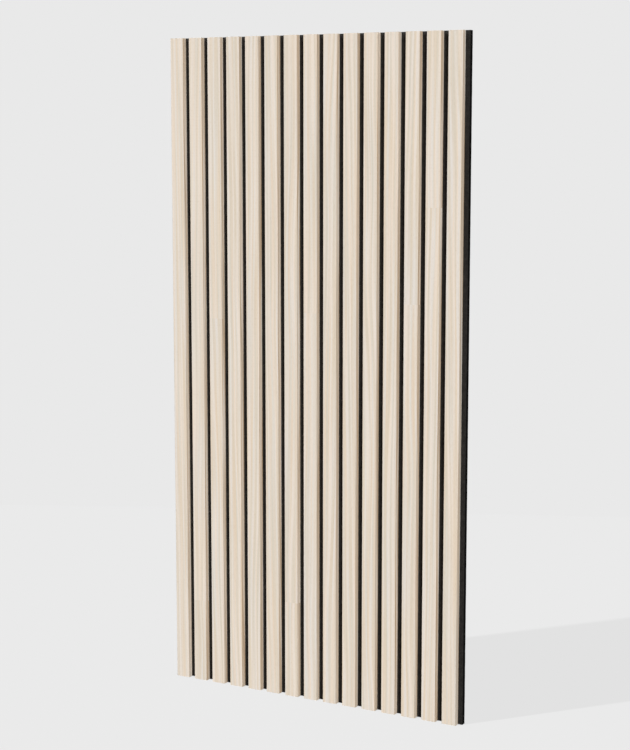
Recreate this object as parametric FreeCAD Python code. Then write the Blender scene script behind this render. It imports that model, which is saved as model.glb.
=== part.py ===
import FreeCAD, Part
import math
import os

# Acoustic slat wall panel: veneered slats glued side by side on a board of pressed felt.
# The origin is the centre of the felt's back face, the face that goes to the wall.
# +X runs to the right across the slats, +Y into the wall and +Z up along the slats.

# Driving dimensions, in millimetres
panel_height = 1200.0       # length of the felt board and of every slat
felt_thickness = 9.0        # pressed felt board
slat_count = 15
slat_width = 27.0           # over the veneer
slat_thickness = 11.0       # from the felt to the veneered front
channel_width = 13.0        # bare felt between two slats
left_margin = 4.5           # bare felt left of the first slat
veneer_thickness = 0.6
core_edge_radius = 0.4      # rounding of the core's two front edges, under the veneer

# Sizes that follow
# The two margins make up one channel, so that the rhythm runs on from panel to panel.
slat_pitch = slat_width + channel_width
panel_width = slat_count * slat_pitch
felt_left = -panel_width / 2
felt_front = -felt_thickness
panel_bottom = -panel_height / 2
core_width = slat_width - 2 * veneer_thickness
core_thickness = slat_thickness - veneer_thickness
veneer_edge_radius = core_edge_radius + veneer_thickness


def point(x, y):
    """A point of a cross section, in the plane of the panel's bottom end."""
    return FreeCAD.Vector(x, y, panel_bottom)


def line(start, end):
    """A straight edge of a cross section."""
    return Part.LineSegment(start, end).toShape()


def bar(centre_x, width, thickness, edge_radius):
    """A bar as long as the panel, which stands on the felt and has its two front edges rounded."""
    left = centre_x - width / 2
    right = centre_x + width / 2
    front = felt_front - thickness
    foot_left = point(left, felt_front)
    foot_right = point(right, felt_front)
    # Each rounding runs from the side face, through the middle of its arc, to the front face.
    shoulder = front + edge_radius
    to_middle = edge_radius * (1 - math.sqrt(0.5))
    side_left = point(left, shoulder)
    side_right = point(right, shoulder)
    middle_left = point(left + to_middle, front + to_middle)
    middle_right = point(right - to_middle, front + to_middle)
    front_left = point(left + edge_radius, front)
    front_right = point(right - edge_radius, front)
    section = Part.Wire([
        line(foot_right, foot_left),
        line(foot_left, side_left),
        Part.Arc(side_left, middle_left, front_left).toShape(),
        line(front_left, front_right),
        Part.Arc(front_right, middle_right, side_right).toShape(),
        line(side_right, foot_right),
    ])
    return Part.Face(section).extrude(FreeCAD.Vector(0, 0, panel_height))


def felt_board():
    """The felt: a plain board, cut square, behind all the slats."""
    corner = FreeCAD.Vector(felt_left, felt_front, panel_bottom)
    return Part.makeBox(panel_width, felt_thickness, panel_height, corner)


def slat(centre_x):
    """One slat: its core, and the veneer that wraps the core's front and both sides."""
    core = bar(centre_x, core_width, core_thickness, core_edge_radius)
    wrapped = bar(centre_x, slat_width, slat_thickness, veneer_edge_radius)
    return core, wrapped.cut(core)


def panel():
    """Every piece of the panel by name."""
    pieces = {"felt_backing": felt_board()}
    first_centre = felt_left + left_margin + slat_width / 2
    for number in range(slat_count):
        core, veneer = slat(first_centre + number * slat_pitch)
        pieces[f"slat_core_{number + 1:02d}"] = core
        pieces[f"slat_veneer_{number + 1:02d}"] = veneer
    return pieces


os.makedirs("parts", exist_ok=True)
for name, piece in panel().items():
    piece.exportStep(f"parts/{name}.step")
    box = piece.BoundBox
    size = f"{box.XLength:.1f} x {box.YLength:.1f} x {box.ZLength:.1f} mm"
    print(f"{name}: {size}, {piece.Volume:.0f} mm3")
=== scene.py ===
# %% [markdown]
# # Dressing an acoustic slat panel
# The real panel is a board of pressed felt with wooden slats glued to it side by side. Each slat is a
# bar of fibreboard wrapped in a leaf of pale veneer. All these pieces come in already solid, at their
# true size and place. This lesson gives each one its finish, makes the felt look soft, and sets the
# floor, the lamps and the camera. Lengths are in metres, as Blender takes them, and only the patterns on
# a surface, such as grain, are measured in millimetres.

# %% Load the panel's pieces
import math
import random
from itertools import product
import bpy
from mathutils import Color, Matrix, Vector, noise


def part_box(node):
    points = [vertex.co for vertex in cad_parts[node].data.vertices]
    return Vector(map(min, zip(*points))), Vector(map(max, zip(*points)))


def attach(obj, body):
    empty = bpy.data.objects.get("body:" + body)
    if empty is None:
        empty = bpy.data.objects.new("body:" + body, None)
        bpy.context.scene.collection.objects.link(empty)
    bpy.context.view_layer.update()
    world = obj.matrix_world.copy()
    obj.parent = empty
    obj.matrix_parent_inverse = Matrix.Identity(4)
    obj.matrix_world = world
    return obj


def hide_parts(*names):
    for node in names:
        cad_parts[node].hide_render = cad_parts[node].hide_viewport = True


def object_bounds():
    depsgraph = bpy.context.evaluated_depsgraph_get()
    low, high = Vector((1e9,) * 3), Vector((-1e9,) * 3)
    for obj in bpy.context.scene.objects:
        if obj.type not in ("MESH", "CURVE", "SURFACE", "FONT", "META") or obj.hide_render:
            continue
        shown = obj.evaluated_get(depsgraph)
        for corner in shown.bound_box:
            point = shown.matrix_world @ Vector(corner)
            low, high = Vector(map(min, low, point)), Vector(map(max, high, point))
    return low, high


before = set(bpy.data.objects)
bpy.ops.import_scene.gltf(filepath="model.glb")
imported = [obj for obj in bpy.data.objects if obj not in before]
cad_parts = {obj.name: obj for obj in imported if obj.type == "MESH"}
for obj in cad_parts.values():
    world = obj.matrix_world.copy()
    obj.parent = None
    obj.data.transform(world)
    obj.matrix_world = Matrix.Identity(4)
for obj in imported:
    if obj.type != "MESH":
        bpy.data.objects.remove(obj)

solid_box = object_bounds()
panel_size = solid_box[1] - solid_box[0]
slat_numbers = range(1, 1 + sum(name.startswith("slat_core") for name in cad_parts))
print(len(slat_numbers), "slats on a panel of", [round(side, 3) for side in panel_size], "m")

# %% [markdown]
# A finish is a tree of nodes, and most of its maths is plain arithmetic on numbers that change over the
# surface. A Math node could be added by hand for each plus and times, but that hides the thought. So
# this small class wraps one socket and lets Python's own operators add those nodes. Every other node
# comes from its one `node` method, which sets the node's options first and then fills or links its
# sockets.

# %% Wires: shader maths in Python
noise_middle = 0.5    # a Noise Texture node gives values round this


class Wire:
    """A socket that gives a value, in one node tree. Arithmetic on it adds Math nodes."""

    def __init__(self, tree, socket=None):
        self.tree = tree
        self.socket = socket

    def node(self, kind, settings=None, sockets=None, output=0):
        """Adds a node of this kind and returns the wire from one of its outputs."""
        made = self.tree.nodes.new("ShaderNode" + kind)
        for option, value in (settings or {}).items():
            setattr(made, option, value)
        for name, value in (sockets or {}).items():
            if isinstance(value, Wire):
                self.tree.links.new(value.socket, made.inputs[name])
            else:
                made.inputs[name].default_value = value
        return Wire(self.tree, made.outputs[output] if made.outputs else None)

    def math(self, operation, first, second=0.0):
        """A Math node on one or two values, each a wire or a number."""
        return self.node("Math", {"operation": operation}, {0: first, 1: second})

    def __add__(self, other):
        return self.math("ADD", self, other)

    def __radd__(self, other):
        return self.math("ADD", other, self)

    def __sub__(self, other):
        return self.math("SUBTRACT", self, other)

    def __rsub__(self, other):
        return self.math("SUBTRACT", other, self)

    def __mul__(self, other):
        return self.math("MULTIPLY", self, other)

    def __rmul__(self, other):
        return self.math("MULTIPLY", other, self)

    def __truediv__(self, other):
        return self.math("DIVIDE", self, other)

    def __rtruediv__(self, other):
        return self.math("DIVIDE", other, self)

    def __gt__(self, other):
        return self.math("GREATER_THAN", self, other)

    def __lt__(self, other):
        return self.math("LESS_THAN", self, other)

    def __abs__(self):
        return self.math("ABSOLUTE", self)

    def sign(self):
        """-1 below 0 and 1 above it."""
        return self.math("SIGN", self)

    def wave(self):
        """Swings from -1 to 1 and back once for each whole number."""
        return self.math("SINE", self * math.tau)

    def rise(self, low, high):
        """0 below low, 1 above high and a smooth rise between them."""
        return self.node("MapRange", {"interpolation_type": "SMOOTHSTEP"},
                         {"Value": self, "From Min": low, "From Max": high})

    def split(self):
        """The X, Y and Z of a vector."""
        apart = self.node("SeparateXYZ", sockets={"Vector": self})
        return [Wire(self.tree, part) for part in apart.socket.node.outputs]

    def cloud(self, x, y, z, detail=0.0, distortion=0.0):
        """Soft random values round 0, which change over about one unit of x, y and z."""
        spot = self.node("CombineXYZ", sockets={"X": x, "Y": y, "Z": z})
        return self.node("TexNoise", sockets={
            "Vector": spot, "Scale": 1.0, "Detail": detail, "Distortion": distortion}) - noise_middle

    def mix(self, share, first, second, blend="MIX", clamp=True):
        """Two colours, mixed by a share from 0 to 1, or by any share without the clamp."""
        # A Mix node has sockets for several kinds of value. For colours they are 6, 7 and output 2.
        return self.node("Mix", {"data_type": "RGBA", "blend_type": blend, "clamp_factor": clamp},
                         {0: share, 6: first, 7: second}, output=2)


print("shader wires ready")

# %% [markdown]
# Three small helpers serve every finish below. A picture's colours are written from 0 to 255, but
# shaders work in linear light, so `tint` turns one into the other. A finish could be put on the mesh, but
# then the solid would no longer be as it came. So `wear` puts it on a slot of the piece itself.

# %% Helpers for finishes


def new_finish(name):
    """An empty material, and a wire with which to add its nodes."""
    finish = bpy.data.materials.new(name)
    finish.use_nodes = True
    finish.node_tree.nodes.clear()
    return finish, Wire(finish.node_tree)


def tint(red, green, blue):
    """A colour as a picture shows it, from 0 to 255, as the linear light that shaders work in."""
    return [*Color((red / 255, green / 255, blue / 255)).from_srgb_to_scene_linear(), 1.0]


def wear(piece, finish):
    """Gives a piece its finish."""
    slot = piece.material_slots[0]
    slot.link = "OBJECT"
    slot.material = finish


print("mid grey is", round(tint(128, 128, 128)[0], 3), "in linear light")

# %% [markdown]
# The panel is seen from the right and from a little above its middle, through a long lens, which keeps
# the slats nearly parallel. A camera can be made to track a target, but a picture is easier to match
# when its place and its two turns are plain numbers. They read like a note from a studio: so far right
# of the middle of the panel's back, so far in front, so far up, turned and dipped by so much. Blender's
# usual view transform softens bright tones. The Standard one shows a colour as it is, so that is set.

# %% Camera
camera_place = Vector((1.5548, -2.7286, 0.4369))
camera_turn = math.radians(29.725)
camera_dip = math.radians(7.942)
view_angle = math.radians(24.0)

camera = bpy.data.objects.new("camera", bpy.data.cameras.new("camera"))
camera.location = camera_place
camera.rotation_euler = (math.pi / 2 - camera_dip, 0.0, camera_turn)
camera.data.angle = view_angle
bpy.context.scene.collection.objects.link(camera)
bpy.context.scene.camera = camera
bpy.context.scene.view_settings.view_transform = "Standard"
print(f"camera with a {camera.data.lens:.1f} mm lens, {camera_place.length:.2f} m from the panel")

# %% [markdown]
# The studio is a pale floor and a pale nothing behind it. A backdrop of paper would stand in the way of a
# look at the panel's back, so the world itself is the backdrop. The camera sees it in one even tone, and
# what lights the panel is a much weaker sky. The Light Path node tells the two apart.

# %% Backdrop
plain_white = (1.0, 1.0, 1.0, 1.0)
backdrop_tone = tint(233, 233, 233)
sky_strength = 0.2


def seen_directly(wire):
    """1 for what the camera sees, straight or mirrored, and 0 for light on its way to a surface."""
    path = wire.node("LightPath").socket.node
    camera_ray, glossy_ray, clear_ray = (
        Wire(wire.tree, path.outputs[f"Is {kind} Ray"]) for kind in ("Camera", "Glossy", "Transmission"))
    return wire.math("MAXIMUM", camera_ray, wire.math("MAXIMUM", glossy_ray, clear_ray))


world = bpy.data.worlds.new("studio")
bpy.context.scene.world = world
world.use_nodes = True
world.node_tree.nodes.clear()
air = Wire(world.node_tree)
sky = air.node("Background", sockets={"Color": plain_white, "Strength": sky_strength})
backdrop = air.node("Background", sockets={"Color": backdrop_tone})
either = air.node("MixShader", sockets={0: seen_directly(air), 1: sky, 2: backdrop})
air.node("OutputWorld", sockets={"Surface": either})
print("backdrop tone", [round(part, 3) for part in backdrop_tone[:3]], "and sky", sky_strength)

# %% [markdown]
# The floor lies under the panel's foot and ends some way behind it. That far edge draws the faint line
# behind the panel. A pale floor under studio light is nearly flat in tone, with one quiet shadow. White
# paint under the lamps would be uneven and would catch the panel's own glow at its foot. So most of what
# the camera sees is an even light from the floor itself, as bright as the floor is in the shadow. A trace
# of grey paint on top takes the rest from a strong lamp that shines on nothing else. For light on its way
# to the panel the floor is a slightly paler paint, just enough to keep the slats' feet as bright as their
# tops.

# %% Floor
floor_reach = 12.0
far_edge_turn = math.radians(24.3)
far_edge_distance = 1.588
floor_tone, *_ = tint(234, 234, 234)
shadow_tone, *_ = tint(226, 226, 226)
paint_grey = 0.015
bounce_grey = 0.0255
floor_glow = shadow_tone - paint_grey * sky_strength

along_edge = Vector((math.cos(far_edge_turn), math.sin(far_edge_turn), 0.0))
to_edge = Vector((-along_edge.y, along_edge.x, 0.0))
far_middle = to_edge * far_edge_distance + Vector((0.0, 0.0, solid_box[0].z))
near_middle = far_middle - to_edge * 2 * floor_reach
floor_mesh = bpy.data.meshes.new("floor")
floor_mesh.from_pydata([
    far_middle - along_edge * floor_reach, near_middle - along_edge * floor_reach,
    near_middle + along_edge * floor_reach, far_middle + along_edge * floor_reach], [], [range(4)])
floor = bpy.data.objects.new("floor", floor_mesh)
bpy.context.scene.collection.objects.link(floor)

floor_finish, wire = new_finish("floor_finish")
glow = wire.node("Emission", sockets={"Color": plain_white, "Strength": floor_glow})
paint = wire.node("BsdfDiffuse", sockets={"Color": [paint_grey] * 3 + [1.0]})
bounce_paint = wire.node("BsdfDiffuse", sockets={"Color": [bounce_grey] * 3 + [1.0]})
seen_floor = wire.node("AddShader", sockets={0: glow, 1: paint})
surface = wire.node("MixShader", sockets={0: seen_directly(wire), 1: bounce_paint, 2: seen_floor})
wire.node("OutputMaterial", sockets={"Surface": surface})
floor_mesh.materials.append(floor_finish)
print("floor", 2 * floor_reach, "m wide, its far edge", far_edge_distance, "m behind the panel")

# %% [markdown]
# Lamps close to the panel would light its near end more than its far one, so far ones are used, the kind
# that Blender calls suns. The key stands at the front left. The fill comes from the right, past the
# camera, and looks into the channels at the side faces. The back lamp is for looks from behind, where the
# felt would be black without it. These three leave the floor alone, as if screens kept them off it,
# because three shadows would be in the way. The floor's own lamp stands beside the key and throws the one
# shadow. Light linking tells each lamp what it shines on.

# %% Lamps
key_turn, key_height, key_spread = -38.0, 42.0, 1.0
floor_strength = (floor_tone - shadow_tone) / (paint_grey * math.sin(math.radians(key_height)))

only_floor = bpy.data.collections.new("only_floor")
only_floor.objects.link(floor)
all_but_floor = bpy.data.collections.new("all_but_floor")
all_but_floor.objects.link(floor)
all_but_floor.collection_objects[0].light_linking.link_state = "EXCLUDE"


def lamp(name, lit, turn, height, strength, spread):
    """A far lamp for what is lit, turned right of the front, raised and spread by so many degrees."""
    light = bpy.data.lights.new(name, "SUN")
    # Strength 1 makes a white face that is square to the lamp just white.
    light.energy = math.pi * strength
    light.angle = math.radians(spread)
    made = bpy.data.objects.new(name, light)
    made.rotation_euler = (math.radians(90 - height), 0.0, math.radians(turn))
    made.light_linking.receiver_collection = lit
    bpy.context.scene.collection.objects.link(made)
    print(f"{name}: {turn:.0f} degrees right, {height:.0f} degrees up, strength {strength:.2f}")


lamp("key_lamp", all_but_floor, key_turn, key_height, strength=0.62, spread=key_spread)
lamp("floor_lamp", only_floor, key_turn, key_height, floor_strength, key_spread)
lamp("fill_lamp", all_but_floor, turn=43.5, height=20.0, strength=0.715, spread=15.0)
lamp("back_lamp", all_but_floor, turn=180.0, height=15.0, strength=0.9, spread=15.0)

# %% [markdown]
# A leaf of veneer starts as a flat sheet, and its grain is flat too. Wrapping bends it over the two
# front edges of the bar. Grain laid straight through space would stop at the bend, so each finish below
# works on the leaf as it was before: `across` it from the middle of the front, out to the edge and on
# down the side, and `along` it, both in millimetres. A few slats are covered by two leaves, end to end,
# and the height of that joint over the panel's middle is written down here.

# %% The leaf laid flat
millimetres = 1000.0
leaf_joints = {2: -446, 3: 92, 7: -423, 8: 112, 13: 137, 14: 304}


def place_in_mm(wire):
    """Where a point lies from the middle of the panel's back: right, to the rear and up."""
    return [part * millimetres for part in wire.node("TexCoord", output="Object").split()]


def lay_leaf_flat(wire, number):
    """Where a point lies on a slat's leaf before wrapping: across it and along it."""
    low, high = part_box(f"slat_veneer_{number:02d}")
    x, y, z = place_in_mm(wire)
    from_middle = x - (low.x + high.x) / 2 * millimetres
    down_side = y - low.y * millimetres
    return from_middle + from_middle.sign() * down_side, z


leaf_low, leaf_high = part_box("slat_veneer_01")
half_front = (leaf_high.x - leaf_low.x) / 2 * millimetres
leaf_reach = half_front + (leaf_high.y - leaf_low.y) * millimetres
print(f"a leaf is {2 * leaf_reach:.0f} mm wide, and {2 * half_front:.0f} mm of it are the front")
print("slats with two leaves:", ", ".join(str(number) for number in leaf_joints))

# %% [markdown]
# No two leaves of wood are alike. One has tight growth rings and another wide ones, and one leans while
# another wanders. A chance for every point would be noise, not wood, so only these few traits are drawn,
# once for each leaf, from a seeded source that gives the same in every run. A slat with two leaves draws
# twice, and the traits change over at its joint.

# %% The character of each leaf
leaf_seed = 15
leaf_draw = random.Random(leaf_seed)
leaf_traits = {
    "ring_width": (9.5, 13.0),    # from ring to ring, in mm
    "wander": (5.0, 14.0),        # how far the grain strays to and fro, in mm
    "lean": (-0.02, 0.02),        # across for each mm along
    "contrast": (0.8, 1.15),
    "paleness": (0.46, 0.54),
    "place": (0.0, 900.0),        # where in the endless noise this leaf is cut
}


def draw_leaf():
    """The traits of one leaf."""
    return {trait: leaf_draw.uniform(*span) for trait, span in leaf_traits.items()}


def leaf_character(number, along):
    """A slat's leaf traits, which change over at the joint if it has one."""
    lower = draw_leaf()
    if number not in leaf_joints:
        return lower
    upper = draw_leaf()
    above_joint = along > leaf_joints[number]
    return {trait: lower[trait] + above_joint * (upper[trait] - lower[trait]) for trait in leaf_traits}


print("each leaf draws its", ", ".join(leaf_traits))

# %% [markdown]
# Pale straight-grained veneer is quiet: soft bands of growth rings, about ten millimetres apart, which
# lean, wander and fade. A plain stripe would look printed, so the bands are a wave whose spacing is
# pushed about by soft noise. Narrow streaks lie between them. All noise is stretched far along the slat,
# because wood changes quickly across the grain and slowly along it. Each kind of mark reads the noise at
# a depth of its own, so that no two of them follow each other.

# %% Bands and streaks
noise_depths = {
    "push": 0.0, "streaks": 11.0, "fading": 23.0, "warmth": 37.0,
    "fibres": 51.0, "pores": 67.0, "dust_and_shade": 83.0,
}
wander_length = 210.0
wander_depth = 0.5
ring_push = 1.3
ring_strength = 0.37
streak_strength = 1.3
fading_strength = 1.4
warmth_strength = 1.9
middle_tone = 0.5


def marks(wire, across, along, place, kind, width, length, detail=0.0):
    """Soft marks along the grain, round 0, about this wide and long in mm."""
    return wire.cloud(across / width, along / length, place + noise_depths[kind], detail)


def bands_and_streaks(wire, across, along, leaf):
    """How light and how warm the wood is, round a middle tone, and the place across straying grain."""
    place = leaf["place"]
    stray = wire.cloud(along / wander_length, place, wander_depth) * leaf["wander"]
    across = across + along * leaf["lean"] + stray
    push = marks(wire, across, along, place, "push", width=9.0, length=330.0)
    rings = (across / leaf["ring_width"] + push * ring_push).wave()
    streaks = marks(wire, across, along, place, "streaks", width=3.0, length=240.0)
    fading = 1.0 + marks(wire, across, along, place, "fading", width=14.0, length=180.0) * fading_strength
    swing = (rings * ring_strength + streaks * streak_strength) * fading
    warm_and_cool = marks(wire, across, along, place, "warmth", width=3.6, length=260.0)
    lightness = leaf["paleness"] + swing * leaf["contrast"]
    warmth = middle_tone + warm_and_cool * warmth_strength
    return lightness, warmth, across


print("kinds of marks in the noise:", ", ".join(noise_depths))

# %% [markdown]
# Close up, wood is a bundle of fibres with fine open pores, which are short dark dashes along the
# grain. They are far too small for the camera of this lesson, but they are there when the panel is seen
# from near, in the colour, in the sheen and as a shallow relief. Cut into the mesh they would need
# millions of faces, so they stay in the finish.

# %% Fibres and pores
pore_start = 0.13
pore_full = 0.24


def fibres_and_pores(wire, across, along, place):
    """Fine fibres round 0, and pores from 0 to 1."""
    fibres = marks(wire, across, along, place, "fibres", width=0.4, length=38.0, detail=1.0)
    dashes = marks(wire, across, along, place, "pores", width=0.24, length=5.5)
    return fibres, dashes.rise(pore_start, pore_full)


print("pores start where their noise is over", pore_start, "and are full over", pore_full)

# %% [markdown]
# The sides carry painted shade, a shade deeper and warmer than the front, and the bend carries the
# deepest painted shade. At the foot of each side felt fibres stick in the glue, and painted shade darkens
# the corner there too, as a thin dark line with a frayed border. The cut ends are end grain, which is
# darker. All four could be separate meshes, but they are one leaf, so they are four masks over it, from
# 0 to 1.

# %% Painted shade, felt fibres and end grain
# The side and fold tints are painted shade. The tint at the felt is felt fibres and painted shade in the
# corner.
side_shade_tint = (1.0, 0.955, 0.895, 1.0)
fold_shade_tint = (0.88, 0.84, 0.79, 1.0)
felt_dust_and_shade_tint = (0.2, 0.19, 0.18, 1.0)
end_grain_tint = (0.78, 0.7, 0.6, 1.0)
side_starts, side_full = half_front - 0.4, half_front + 0.4
fold_starts, fold_full = half_front - 0.2, half_front + 0.3
fold_fades, fold_ends = half_front + 0.7, half_front + 1.8
# The dark line at the foot of each side: felt fibres in the glue and painted shade in the corner.
dust_and_shade_starts, dust_and_shade_full = leaf_reach - 1.2, leaf_reach - 0.4
dust_and_shade_fray = 1.6
end_facing = 0.5


def shade_and_edge_masks(wire, across, along, place):
    """Masks of the painted side and fold shade, the dark felt line and the cut ends."""
    out = abs(across)
    on_side = out.rise(side_starts, side_full)
    at_fold = out.rise(fold_starts, fold_full) - out.rise(fold_fades, fold_ends)
    # The frayed border of that line of felt fibres and painted corner shade.
    fray = marks(wire, across, along, place, "dust_and_shade", width=1.2, length=0.9, detail=1.0) * dust_and_shade_fray
    at_felt = (out + fray).rise(dust_and_shade_starts, dust_and_shade_full)
    facing_up = wire.node("TexCoord", output="Normal").split()[2]
    return on_side, at_fold, at_felt, abs(facing_up) > end_facing


print(f"a leaf bends {half_front:.1f} mm from its middle and meets the felt {leaf_reach:.1f} mm from it")

# %% [markdown]
# The colours come last. Light wood is a little whiter and dark wood a little deeper in colour, and each
# leaf runs between pinker and greyer stretches. A ramp has only one line of colours, so four tints are
# mixed by lightness and by warmth instead. On the sides the same grain stands out more than twice as
# strongly. The surface is dull and nearly bare, as sanded wood with a thin matt lacquer is.

# %% Veneer
dark_grey_wood = tint(217, 207, 191)
dark_pink_wood = tint(226, 208, 185)
pale_grey_wood = tint(228, 221, 213)
pale_pink_wood = tint(236, 222, 207)
pore_tint = (0.86, 0.8, 0.72, 1.0)
pore_darkness = 0.6
fibre_contrast = 0.3
side_grain_tint = (0.77, 0.67, 0.57, 1.0)
veneer_roughness = 0.58
fibre_roughness = 0.3
pore_roughness = 0.15
veneer_shine = 0.25
grain_relief = 0.0001
grain_relief_strength = 0.35


def wood_colour(wire, tone, warmth, pores):
    """The bare wood's colour, before the signs of the wrap."""
    dark_wood = wire.mix(warmth, dark_grey_wood, dark_pink_wood)
    pale_wood = wire.mix(warmth, pale_grey_wood, pale_pink_wood)
    return wire.mix(pores * pore_darkness, wire.mix(tone, dark_wood, pale_wood), pore_tint, "MULTIPLY")


def veneer_finish(number):
    """The finish of one slat's veneer, with its one or two leaves."""
    finish, wire = new_finish(f"veneer_{number:02d}")
    across, along = lay_leaf_flat(wire, number)
    leaf = leaf_character(number, along)
    on_side, at_fold, at_felt, on_end = shade_and_edge_masks(wire, across, along, leaf["place"])
    lightness, warmth, across = bands_and_streaks(wire, across, along, leaf)
    fibres, pores = fibres_and_pores(wire, across, along, leaf["place"])
    colour = wood_colour(wire, lightness + fibres * fibre_contrast, warmth, pores)
    # On the sides dark grain gets darker and pale grain paler, so this share goes below 0 too.
    side_grain = (middle_tone - lightness) * on_side
    colour = wire.mix(side_grain, colour, side_grain_tint, "MULTIPLY", clamp=False)
    # The side and fold tints paint shade, the felt tint paints fibres and corner shade, the end tint is
    # end grain.
    for mask, shade in ((on_side, side_shade_tint), (at_fold, fold_shade_tint),
                        (at_felt, felt_dust_and_shade_tint), (on_end, end_grain_tint)):
        colour = wire.mix(mask, colour, shade, "MULTIPLY")
    relief = wire.node("Bump", sockets={
        "Strength": grain_relief_strength, "Distance": grain_relief, "Height": fibres - pores})
    shader = wire.node("BsdfPrincipled", sockets={
        "Base Color": colour, "Specular IOR Level": veneer_shine, "Normal": relief,
        "Roughness": veneer_roughness + fibres * fibre_roughness + pores * pore_roughness})
    wire.node("OutputMaterial", sockets={"Surface": shader})
    return finish


for number in slat_numbers:
    wear(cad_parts[f"slat_veneer_{number:02d}"], veneer_finish(number))
print(len(slat_numbers), "slats veneered, with", len(slat_numbers) + len(leaf_joints), "leaves")

# %% [markdown]
# The bars under the veneer show only where they are cut, at the top and the foot. Fibreboard is wood
# ground to fibres and pressed hard. The press packs the two faces tighter than the middle, so a cut end
# is dark at the front and the back and paler between, with fine specks all over. One brown would look
# like plastic. The specks are noise in space, not laid on a face, so they fit whichever face is cut.

# %% Fibreboard
packed_board = tint(136, 110, 84)
loose_board = tint(190, 162, 128)
packed_from, packed_full = 0.45, 1.0
least_loose = 0.25
middle_looser = 0.55
speck_size = 0.35
speck_detail = 2.0
speck_strength = 1.3
clump_size = 1.6
clump_strength = 0.5
board_roughness = 0.85
speck_roughness = 0.2
board_shine = 0.15
board_relief = 0.0002
board_relief_strength = 0.5


def fibreboard_finish(number):
    """The finish of one bar, darker towards its front and its back."""
    finish, wire = new_finish(f"fibreboard_{number:02d}")
    low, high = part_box(f"slat_core_{number:02d}")
    x, y, z = place_in_mm(wire)
    middle_y = (low.y + high.y) / 2 * millimetres
    half_thickness = (high.y - low.y) / 2 * millimetres
    packed = (abs(y - middle_y) / half_thickness).rise(packed_from, packed_full)
    specks = wire.cloud(x / speck_size, y / speck_size, z / speck_size, speck_detail)
    clumps = wire.cloud(x / clump_size, y / clump_size, z / clump_size)
    looseness = least_loose + (1.0 - packed) * middle_looser
    looseness = looseness + specks * speck_strength + clumps * clump_strength
    colour = wire.mix(looseness, packed_board, loose_board)
    relief = wire.node("Bump", sockets={
        "Strength": board_relief_strength, "Distance": board_relief, "Height": specks + clumps})
    shader = wire.node("BsdfPrincipled", sockets={
        "Base Color": colour, "Roughness": board_roughness + specks * speck_roughness,
        "Specular IOR Level": board_shine, "Normal": relief})
    wire.node("OutputMaterial", sockets={"Surface": shader})
    return finish


for number in slat_numbers:
    wear(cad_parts[f"slat_core_{number:02d}"], fibreboard_finish(number))
print(len(slat_numbers), "bars of fibreboard")

# %% [markdown]
# Felt is soft even when it is pressed into a board. A knife leaves its edges a little rounded, and its
# faces are never quite flat. The solid board is a sharp box, so a softer one takes its place. A Bevel and
# a Displace modifier could do it, but they need an even mesh to work on. So a lattice of lines is laid
# over the same box, a few millimetres apart on the faces and much closer in the rounds at the edges.

# %% The felt board's lattice
felt_low, felt_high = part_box("felt_backing")
edge_round = 0.0003
round_shares = (0.0, 0.25, 0.6, 1.0)
lattice_step = 0.006
fewest_steps = 2


def lattice_lines(low, high):
    """Places along one side of the board: close together in the round at each end, evenly between."""
    near = [low + edge_round * share for share in round_shares]
    far = [high - edge_round * share for share in reversed(round_shares)]
    count = max(fewest_steps, round((far[0] - near[-1]) / lattice_step))
    return near + [near[-1] + (far[0] - near[-1]) * step / count for step in range(1, count)] + far


lattice = [lattice_lines(low, high) for low, high in zip(felt_low, felt_high)]
print("lattice of", " by ".join(str(len(lines)) for lines in lattice), "lines")

# %% [markdown]
# Where two lines of the lattice cross on a side of the box, the felt's skin has a point. Points near an
# edge are drawn in to a small round, and all of them are raised or sunk a little by smooth noise, far
# less than the felt is thick. Six loose sheets, one for each side, would gape along the edges when the
# noise moves them. So sides that meet share the points of their edge, and the skin is closed.

# %% The felt board's form
swell_size = 0.011
swell_height = 0.00015


def soften(point):
    """A point of the sharp box, moved onto the rounded and uneven board."""
    inner = Vector([min(max(part, low + edge_round), high - edge_round)
                    for part, low, high in zip(point, felt_low, felt_high)])
    outward = (point - inner).normalized()
    swell = swell_height * noise.noise(point / swell_size)
    return inner + outward * (edge_round + swell)


def crossing(axis, end, first, second):
    """A crossing of the lattice on the side at one end of an axis, as its line number on x, y and z."""
    spot = [0, 0, 0]
    spot[axis], spot[(axis + 1) % 3], spot[(axis + 2) % 3] = end, first, second
    return tuple(spot)


def side_faces(axis, end):
    """The faces of one side of the board, each as its four crossings, in turn as seen from outside."""
    firsts, seconds = (len(lattice[(axis + further) % 3]) - 1 for further in (1, 2))
    for first, second in product(range(firsts), range(seconds)):
        corners = [(first, second), (first + 1, second), (first + 1, second + 1), (first, second + 1)]
        if end == 0:
            corners.reverse()
        yield [crossing(axis, end, *corner) for corner in corners]


def felt_board_mesh():
    """A closed skin over the six sides of the board, with the points of its edges shared."""
    point_numbers, faces = {}, []
    for axis, lines in enumerate(lattice):
        for end in (0, len(lines) - 1):
            for spots in side_faces(axis, end):
                faces.append([point_numbers.setdefault(spot, len(point_numbers)) for spot in spots])
    points = [soften(Vector([places[n] for places, n in zip(lattice, spot)])) for spot in point_numbers]
    mesh = bpy.data.meshes.new("felt_board")
    mesh.from_pydata(points, [], faces)
    mesh.shade_smooth()
    return mesh


felt_board = bpy.data.objects.new("felt_board", felt_board_mesh())
bpy.context.scene.collection.objects.link(felt_board)
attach(felt_board, "root")
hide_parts("felt_backing")
print("felt board of", len(felt_board.data.polygons), "faces")
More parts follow.
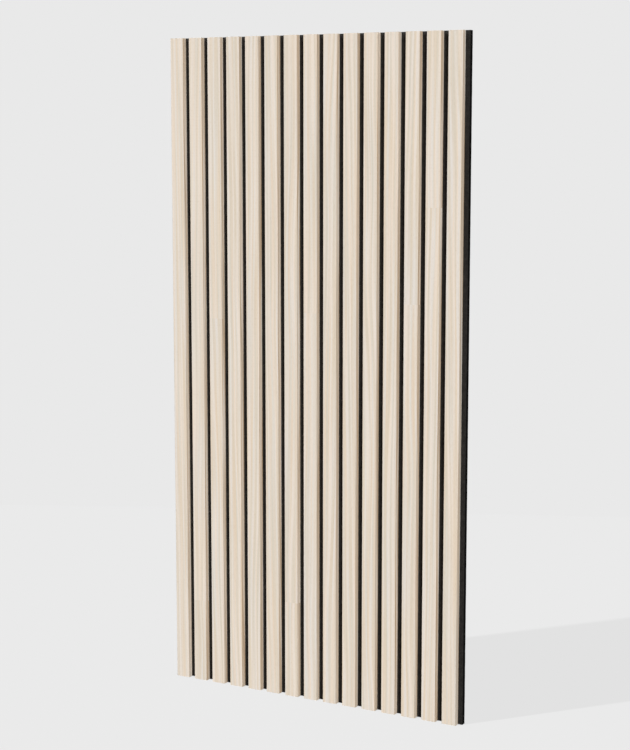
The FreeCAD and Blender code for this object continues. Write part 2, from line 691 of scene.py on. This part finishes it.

# %% [markdown]
# The felt is made of short polyester fibres, mostly near black with some dark grey ones, needled
# together. From a step away that is a quiet mottle, and from near a tangle. Hair on the board would give
# true fibres, but far too many of them. So the tangle is three layers of fine bent lines that lie
# different ways, over noise that is bent by more noise. Where the board was cut the fibres stand end on,
# and the cut edges also carry painted shade, so they are darker than the faces. Felt has no shine at all.

# %% Felt
black_fibre = tint(36, 35, 34)
grey_fibre = tint(65, 63, 61)
# The cut edges' tint: end-on fibres and painted shade.
cut_edge_shade_tint = (0.25, 0.26, 0.27, 1.0)
fibre_lies = (15.0, 70.0, 130.0)
fibre_width, fibre_length, fibre_depth = 0.7, 4.5, 2.0
fibre_bend = 0.5
line_width = 0.06
dip_across, dip_along = 0.6, 0.4
mottle_size, mottle_grey, mottle_height = 9.0, 0.9, 0.5
matting_size, matting_grey, matting_bend = 1.5, 1.2, 1.6
least_grey, fibre_grey, fibre_height = 0.3, 0.35, 0.3
felt_detail = 2.0
cut_facing, face_facing = 0.5, 0.9
felt_roughness = 0.95
matting_roughness = 0.2
felt_shine = 0.0
felt_relief = 0.0005
felt_relief_strength = 0.6


def fibre_layer(wire, x, y, z, lie):
    """Fine bent lines, from 0 to 1, that lie this many degrees from upright."""
    turn = math.radians(lie)
    across = x * math.cos(turn) + z * math.sin(turn) + y * dip_across
    along = z * math.cos(turn) - x * math.sin(turn) + y * dip_along
    ridges = wire.cloud(across / fibre_width, along / fibre_length, y / fibre_depth + lie,
                        distortion=fibre_bend)
    return 1.0 - abs(ridges).rise(0.0, line_width)


def felt_finish():
    """The finish of the felt board, with painted shade on the edges where the board was cut."""
    finish, wire = new_finish("pressed_felt")
    x, y, z = place_in_mm(wire)
    mottle = wire.cloud(x / mottle_size, y / mottle_size, z / mottle_size, felt_detail)
    matting = wire.cloud(x / matting_size, y / matting_size, z / matting_size, felt_detail, matting_bend)
    first, second, third = (fibre_layer(wire, x, y, z, lie) for lie in fibre_lies)
    fibres = first + second + third
    facing_rear = wire.node("TexCoord", output="Normal").split()[1]
    on_cut = 1.0 - abs(facing_rear).rise(cut_facing, face_facing)
    greyness = least_grey + mottle * mottle_grey + matting * matting_grey + fibres * fibre_grey
    colour = wire.mix(greyness, black_fibre, grey_fibre)
    # Painted shade on the cut edges, along with the darker end-on fibres.
    colour = wire.mix(on_cut, colour, cut_edge_shade_tint, "MULTIPLY")
    relief = wire.node("Bump", sockets={
        "Strength": felt_relief_strength, "Distance": felt_relief,
        "Height": matting + mottle * mottle_height + fibres * fibre_height})
    shader = wire.node("BsdfPrincipled", sockets={
        "Base Color": colour, "Roughness": felt_roughness + matting * matting_roughness,
        "Specular IOR Level": felt_shine, "Normal": relief})
    wire.node("OutputMaterial", sockets={"Surface": shader})
    return finish


felt_board.data.materials.append(felt_finish())
print("felt fibres lie", " and ".join(f"{lie:.0f}" for lie in fibre_lies), "degrees from upright")
